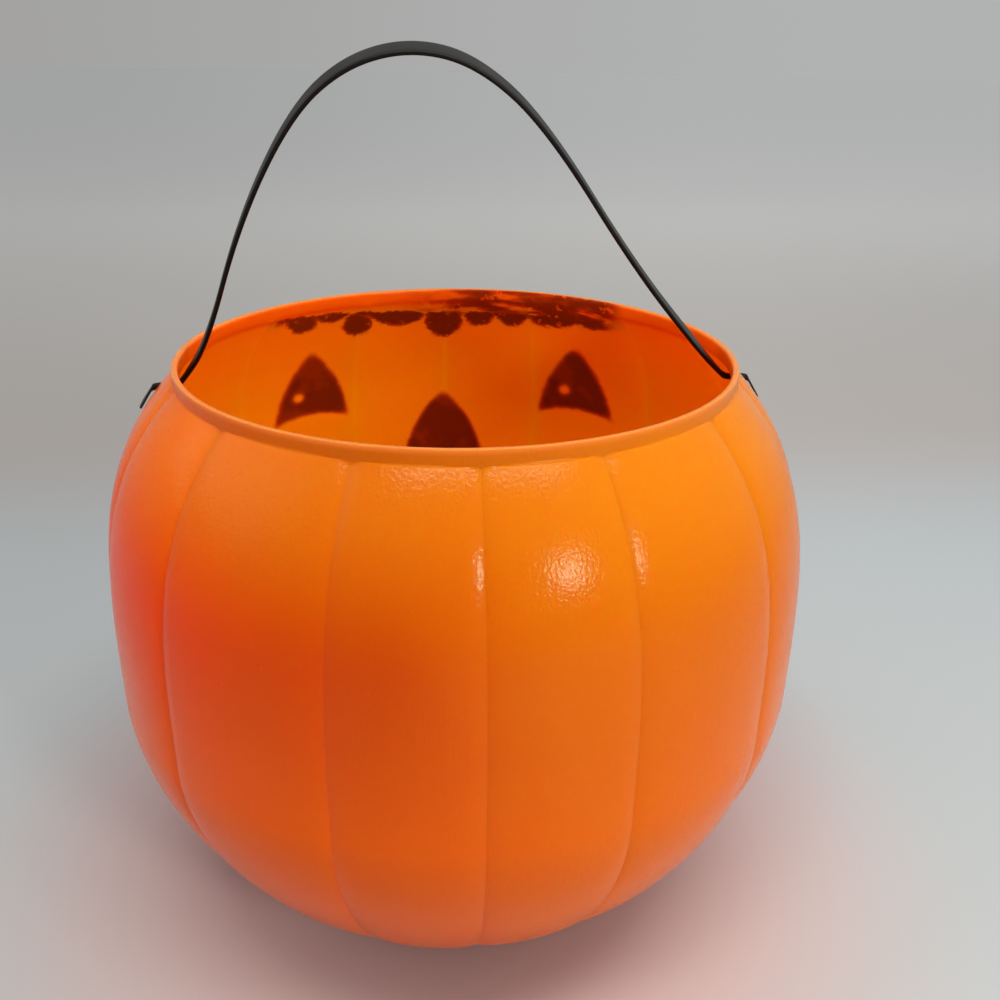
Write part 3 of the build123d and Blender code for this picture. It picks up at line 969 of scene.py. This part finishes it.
# the orange moulding: colours as they show on screen, places in metres, heights in millimetres
orange = dict(
    # painted light and shade: the side colours, the shoulder colour, the foot colour, the inside colours
    # and the lip colour stand in for how light falls on and through one plastic
    shadedGlowSide=(236, 62, 4), middle=(184, 68, 1), keyLitSide=(203, 105, 3), litCrown=(208, 134, 7),
    foot=(238, 108, 6), inside=(254, 153, 6), rimInside=(226, 94, 3), lip=(208, 124, 60),
    showThroughShade=(118, 36, 6), showThroughShadeEdge=(176, 60, 8), speck=(96, 44, 14), pale=(248, 168, 92),
    slowGap=60.0, slowReach=0.05, shadedGlowAt=(0.097, 0.03), keyLitAt=(0.03, -0.03), rimAt=(0.1735, 0.1768),
    lipHighlightShare=0.7, litCrownAt=(0.13, 0.172), litCrownShare=0.45, footGlowAt=(0.15, 0.07), footGlowShare=0.62,
    keptGap=5.0, keptAt=(0.34, 0.42), keptShares=(0.4, 1.0), darkAt=(0.3, 0.95), showThroughShadeAt=(0.0, 0.55),
    speckGap=9.0, speckShare=0.22, speckMix=0.55, scuffMix=0.25,
    peel=0.07, streak=0.05, wave=0.03, rough=(0.16, 0.24),
    shader={
        "IOR": 1.5, "Specular IOR Level": 0.115, "Specular Tint": (0.55, 1.0, 0.85, 1.0),
        "Subsurface Weight": 0.85, "Subsurface Radius": (1.0, 0.4, 0.06), "Subsurface Scale": 0.007,
    },
)


def orangePlastic(ripple, marks, shadow):
    # translucent moulded plastic, with painted light and shade in its colour, and with the paint showing
    # through from outside
    material, tree, shader = newMaterial("orangePlastic", orange["shader"])
    tone = {key: seenColour(*value) for key, value in orange.items() if np.size(value) == 3}
    place = objectPlace(tree)
    worn = placeGroup(tree, marks, {"Speck Gap": orange["speckGap"], "Speck Share": orange["speckShare"]})
    slow = noiseNode(tree, place, orange["slowGap"])
    slow = timesPlus(tree, slow, orange["slowReach"], -orange["slowReach"] / 2)
    spot = splitNode(tree, place)
    # painted light and shade across the pail: darker and redder at +X, away from the key lamp, where light
    # comes red through the walls, and paler and yellower at -X, under the key lamp
    across = plus(tree, slow, spot[0])
    colour = mixColours(tree, rampNode(tree, across, *orange["shadedGlowAt"]), tone["shadedGlowSide"], tone["middle"])
    colour = mixColours(tree, rampNode(tree, across, *orange["keyLitAt"]), colour, tone["keyLitSide"])
    # painted light: towards the shoulder the colour turns paler and yellower, as where light falls
    # brightest
    high = rampNode(tree, spot[2], *orange["litCrownAt"], 0.0, orange["litCrownShare"])
    colour = mixColours(tree, high, colour, tone["litCrown"])
    # painted light: towards the bottom the colour turns paler and yellower, standing in for light that
    # comes through the walls onto the lower body
    low = rampNode(tree, spot[2], *orange["footGlowAt"], 0.0, orange["footGlowShare"])
    colour = mixColours(tree, low, colour, tone["foot"])
    # painted highlight: the flat top of the lip is made paler, as where light catches it
    lip = times(tree, attributeNode(tree, "lip"), orange["lipHighlightShare"])
    # painted light: the inside is a paler, yellower copy of the same plastic, lit as if by light through
    # the walls, and less so at the top of the collar
    inner = attributeNode(tree, "inner")
    within = mixColours(tree, rampNode(tree, spot[2], *orange["rimAt"]), tone["inside"], tone["rimInside"])
    colour = mixColours(tree, inner, colour, within)
    colour = mixColours(tree, lip, colour, tone["lip"])
    # painted shade: the paint outside shows through the wall, and the wall inside is made darker still
    # where the paint keeps light out
    seen = placeGroup(tree, shadow, {"Wobble": showThrough["edgeWobble"]})
    kept = noiseNode(tree, place, orange["keptGap"], 3.0, 0.65)
    kept = rampNode(tree, kept, *orange["keptAt"], *orange["keptShares"])
    showThroughShade = most(tree, seen["Features"], times(tree, seen["Fringe"], kept))
    showThroughShade = times(tree, showThroughShade, inner)
    dark = mixColours(tree, rampNode(tree, showThroughShade, *orange["darkAt"]), tone["showThroughShadeEdge"], tone["showThroughShade"])
    colour = mixColours(tree, rampNode(tree, showThroughShade, *orange["showThroughShadeAt"]), colour, dark)
    colour = mixColours(tree, times(tree, worn["Specks"], orange["speckMix"]), colour, tone["speck"])
    colour = mixColours(tree, times(tree, worn["Scuffs"], orange["scuffMix"]), colour, tone["pale"])
    feed(shader.inputs["Base Color"], colour)
    roughFrom(tree, shader, worn["Bloom"], orange)
    bumpFrom(tree, shader, skinHeight(tree, ripple, orange))
    return material


# the black paint on the face, in millimetres
paint = dict(
    black=(17, 15, 14), dust=(74, 76, 76), chip=(214, 88, 16), edgeReach=1.2, edgeShare=0.12,
    chipGap=3.5, chipAt=(0.70, 0.73), chipDepth=0.08, peel=0.02, streak=0.01, wave=0.05, rough=(0.32, 0.5),
)


def blackPaint(ripple, marks):
    # brushed black paint, chipped in places down to the orange
    material, tree, shader = newMaterial("blackPaint", {})
    tone = {key: seenColour(*paint[key]) for key in ("black", "dust", "chip")}
    worn = placeGroup(tree, marks, {})
    edge = rampNode(tree, attributeNode(tree, "edgeDepth"), paint["edgeReach"], 0.0)
    rough = noiseNode(tree, objectPlace(tree), paint["chipGap"], 4.0, 0.65)
    chipped = rampNode(tree, timesPlus(tree, edge, paint["edgeShare"], rough), *paint["chipAt"])
    colour = mixColours(tree, worn["Scuffs"], tone["black"], tone["dust"])
    feed(shader.inputs["Base Color"], mixColours(tree, chipped, colour, tone["chip"]))
    roughFrom(tree, shader, worn["Bloom"], paint)
    height = skinHeight(tree, ripple, paint)
    bumpFrom(tree, shader, timesPlus(tree, chipped, -paint["chipDepth"], height))
    return material


# the strap's plastic, in millimetres
matt = dict(
    black=(10, 9, 9), dust=(46, 48, 48), alongShare=0.02, lineGap=0.5, lineAt=(0.45, 0.75), lineMix=0.2,
    lineHeight=0.03, scuffMix=0.5, peel=0.02, streak=0.0, wave=0.03, rough=(0.38, 0.5),
    shader={"Specular IOR Level": 0.17},
)


def blackStrap(ripple, marks):
    # matt black plastic with fine lines drawn along it and a little dust on its broad faces
    material, tree, shader = newMaterial("blackStrap", matt["shader"])
    along, side, broad = (attributeNode(tree, "strap" + way) for way in ("Run", "Side", "Face"))
    lines = joinNode(tree, times(tree, along, matt["alongShare"]), side, broad)
    lines = noiseNode(tree, lines, matt["lineGap"])
    worn = placeGroup(tree, marks, {})
    dusty = times(tree, rampNode(tree, lines, *matt["lineAt"]), matt["lineMix"])
    dusty = most(tree, dusty, times(tree, worn["Scuffs"], matt["scuffMix"]))
    colour = mixColours(tree, dusty, seenColour(*matt["black"]), seenColour(*matt["dust"]))
    feed(shader.inputs["Base Color"], colour)
    roughFrom(tree, shader, worn["Bloom"], matt)
    height = skinHeight(tree, ripple, matt)
    bumpFrom(tree, shader, timesPlus(tree, lines, matt["lineHeight"], height))
    return material


# where the picture is taken from, in metres and degrees
view = dict(
    place=(0.017882, 0.292372, 0.264014), heading=6.10, pitch=24.40, roll=0.91, lens=36.0, sensor=36.0,
    clipStart=0.01,
)


def makeCamera():
    heading, pitch, roll = (math.radians(view[key]) for key in ("heading", "pitch", "roll"))
    flat = math.cos(pitch)
    forward = Vector((-math.sin(heading) * flat, -math.cos(heading) * flat, -math.sin(pitch)))
    level = forward.cross(Vector((0, 0, 1))).normalized()
    right = level * math.cos(roll) + level.cross(forward) * math.sin(roll)
    data = bpy.data.cameras.new("photoView")
    data.lens, data.sensor_width, data.sensor_fit = view["lens"], view["sensor"], "HORIZONTAL"
    data.clip_start = view["clipStart"]
    camera = makeObject("photoView", data)
    turn = camera.matrix_world.copy()
    for i, axis in enumerate((right, right.cross(forward), -forward, Vector(view["place"]))):
        turn.col[i].xyz = axis
    camera.matrix_world = turn
    scene.camera = camera


# the studio: three soft lamps, a grey room that is brighter towards -X and dimmer behind the camera, and a
# pale floor, in metres, degrees and watts
studio = dict(
    keyTurn=-30.5, keyRise=23.0, keyAway=1.0, keyWidth=0.155, keyHeight=0.175, keyPower=3.6,
    sideTurn=92.0, sideRise=36.0, sideAway=1.0, sideWidth=0.8, sideHeight=0.6, sidePower=1.8,
    topPlace=(-0.09, 0.38, 1.18), topWidth=0.92, topDepth=0.28, topPower=11.5, lampColour=(1.0, 0.93, 0.76),
    roomDim=(0.365, 0.36, 0.355, 1.0), roomBright=(0.44, 0.45, 0.445, 1.0), roomAcross=(0.45, -0.45),
    roomBehind=0.5, behindFade=(0.0, 0.9), roomOverhead=1.7, overheadFade=(0.1, 0.9), aim=(0.0, 0.0, 0.1),
    floorRadius=12.0, floorSides=96, floorDrop=0.0003, floorNear=(0.42, 0.463, 0.52, 1.0),
    floorMiddle=(0.41, 0.392, 0.412, 1.0), floorFar=(0.795, 0.8, 0.81, 1.0), middleFade=(-0.2, -0.42),
    # painted shade on the floor: darker towards +X, away from the key lamp
    farFade=(-0.15, -1.6), floorPaintedShade=0.82, floorAcross=(0.3, -0.3), fanFrom=0.65, fanLeast=0.3,
    # painted light and shade on the floor round the pail: a reddish glow with its green and blue darkened
    floorPlain=(1.0, 1.0, 1.0, 1.0), floorPaintedGlow=(1.28, 0.89, 0.85, 1.0), paintedGlowAt=(0.19, 0.08),
    floorShader={"Roughness": 0.7, "Specular IOR Level": 0.2},
)


def addLamp(name, place, aim, width, height, power):
    lamp = bpy.data.lights.new(name, "AREA")
    lamp.shape, lamp.size, lamp.size_y, lamp.energy = "RECTANGLE", width, height, power
    lamp.color = studio["lampColour"]
    made = makeObject(name, lamp)
    made.location = place
    made.rotation_euler = (aim - place).to_track_quat("-Z", "Y").to_euler()
    made.visible_camera = False


def makeStudio():
    middle = Vector(studio["aim"])
    for name in ("key", "side"):
        turn, rise = math.radians(studio[name + "Turn"]), math.radians(studio[name + "Rise"])
        way = Vector((math.sin(turn) * math.cos(rise), math.cos(turn) * math.cos(rise), math.sin(rise)))
        sizes = [studio[name + part] for part in ("Width", "Height", "Power")]
        addLamp(name + "Softbox", middle + way * studio[name + "Away"], middle, *sizes)
    top = Vector(studio["topPlace"])
    sizes = [studio["top" + part] for part in ("Width", "Depth", "Power")]
    addLamp("topSoftbox", top, top - Vector((0, 0, 1)), *sizes)
    scene.world = bpy.data.worlds.new("room")
    scene.world.use_nodes = True
    tree = scene.world.node_tree
    walls = tree.nodes["Background"]
    way = splitNode(tree, objectPlace(tree))
    across = rampNode(tree, way[0], *studio["roomAcross"])
    feed(walls.inputs[0], mixColours(tree, across, studio["roomDim"], studio["roomBright"]))
    behind = rampNode(tree, way[1], *studio["behindFade"], 1.0, studio["roomBehind"])
    above = rampNode(tree, way[2], *studio["overheadFade"], 1.0, studio["roomOverhead"])
    feed(walls.inputs[1], times(tree, behind, above))


def makeFloor():
    work = bmesh.new()
    sides, radius = studio["floorSides"], studio["floorRadius"]
    bmesh.ops.create_circle(work, cap_ends=True, segments=sides, radius=radius)
    bmesh.ops.translate(work, verts=work.verts, vec=(0, 0, -studio["floorDrop"]))
    mesh = bpy.data.meshes.new("floor")
    work.to_mesh(mesh)
    work.free()
    material, tree, shader = newMaterial("paleFloor", studio["floorShader"])
    # its tone falls a little behind the pail and then rises until it meets the room
    place = objectPlace(tree)
    spot = splitNode(tree, place)
    middle = rampNode(tree, spot[1], *studio["middleFade"])
    far = rampNode(tree, spot[1], *studio["farFade"])
    colour = mixColours(tree, middle, studio["floorNear"], studio["floorMiddle"])
    colour = mixColours(tree, far, colour, studio["floorFar"])
    # painted shade: the floor is darker towards +X, away from the key lamp, in a wedge that widens behind
    # the pail
    fan = most(tree, minus(tree, studio["fanFrom"], spot[1]), studio["fanLeast"])
    fan = divided(tree, spot[0], fan)
    dim = rampNode(tree, fan, *studio["floorAcross"], studio["floorPaintedShade"], 1.0)
    colour = vectorNode(tree, "SCALE", colour, dim)
    # painted light and shade: close to the pail the floor is redder and its green and blue darker, standing
    # in for the pail's red light and its shadow
    close = rampNode(tree, vectorNode(tree, "LENGTH", place), *studio["paintedGlowAt"])
    tint = mixColours(tree, close, studio["floorPlain"], studio["floorPaintedGlow"])
    feed(shader.inputs["Base Color"], vectorNode(tree, "MULTIPLY", colour, tint))
    mesh.materials.append(material)
    makeObject("floor", mesh)


makeCamera()
makeStudio()
makeFloor()
print("camera, lamps and floor placed")
ripple, marks = mouldRipple(), handledMarks()
makeShell(orangePlastic(ripple, marks, paintShadow()))
makeCoats(blackPaint(ripple, marks))
makeHandle(blackStrap(ripple, marks))
print("pieces dressed")
